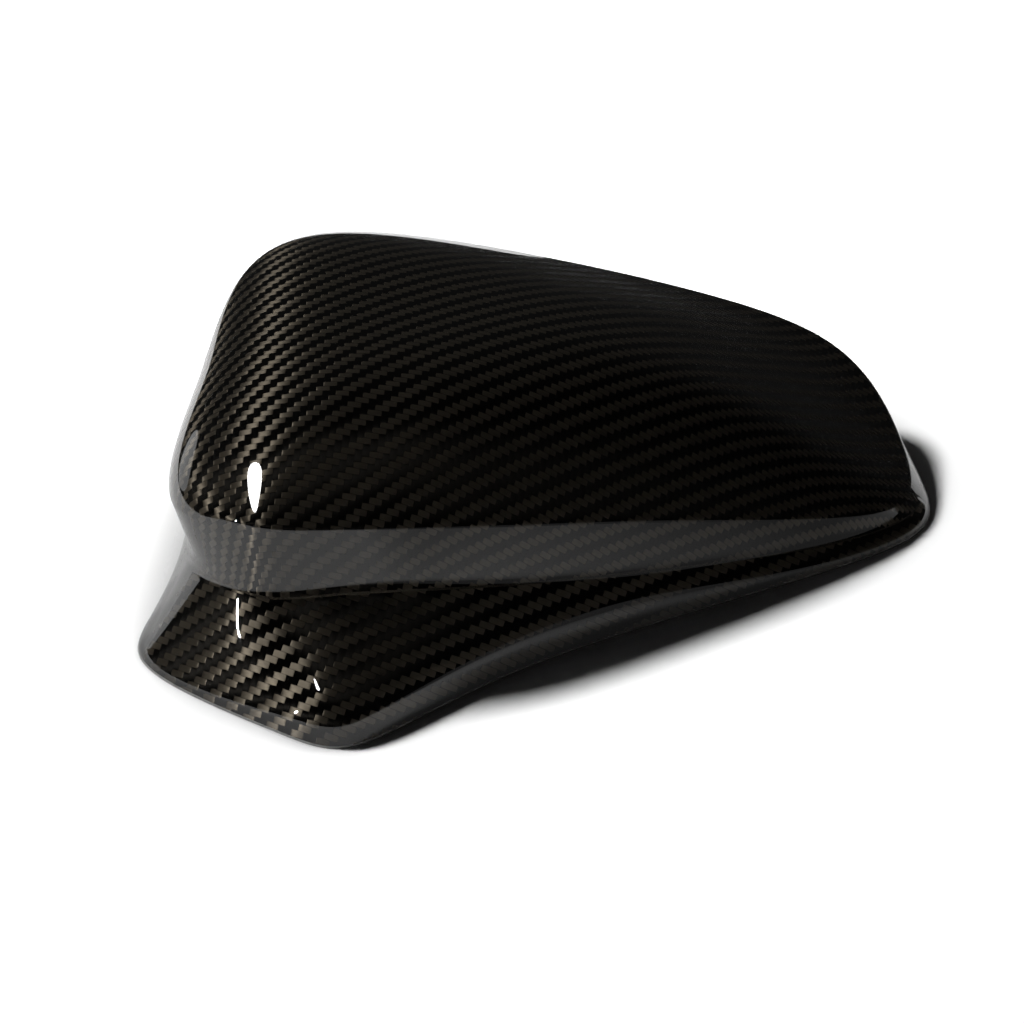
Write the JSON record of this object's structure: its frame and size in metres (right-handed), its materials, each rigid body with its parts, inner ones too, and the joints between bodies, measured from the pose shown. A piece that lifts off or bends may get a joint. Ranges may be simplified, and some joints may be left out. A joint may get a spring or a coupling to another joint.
{
  "type": "wing mirror cover",
  "caption": "Moulded carbon shell for a car's wing mirror, with a domed top above a sharp lower crease, a blade-like flank that ends in a horn, an open rim and snap latches inside.",
  "frame": {"origin": "middle of the open rim's length and width, on the plane that the rim lies on", "axes": "+X along the mirror from the inner end with the horn to the rounded outer end, +Y from the mirror's lower edge to its upper edge, +Z from the rim up to the crown"},
  "size_m": [0.255, 0.186, 0.0783],
  "materials": {
    "carbon": "two by two twill carbon fibre under a clear gloss lacquer"
  },
  "bodies": {
    "root": {"cover": "carbon"}
  },
  "joints": []
}
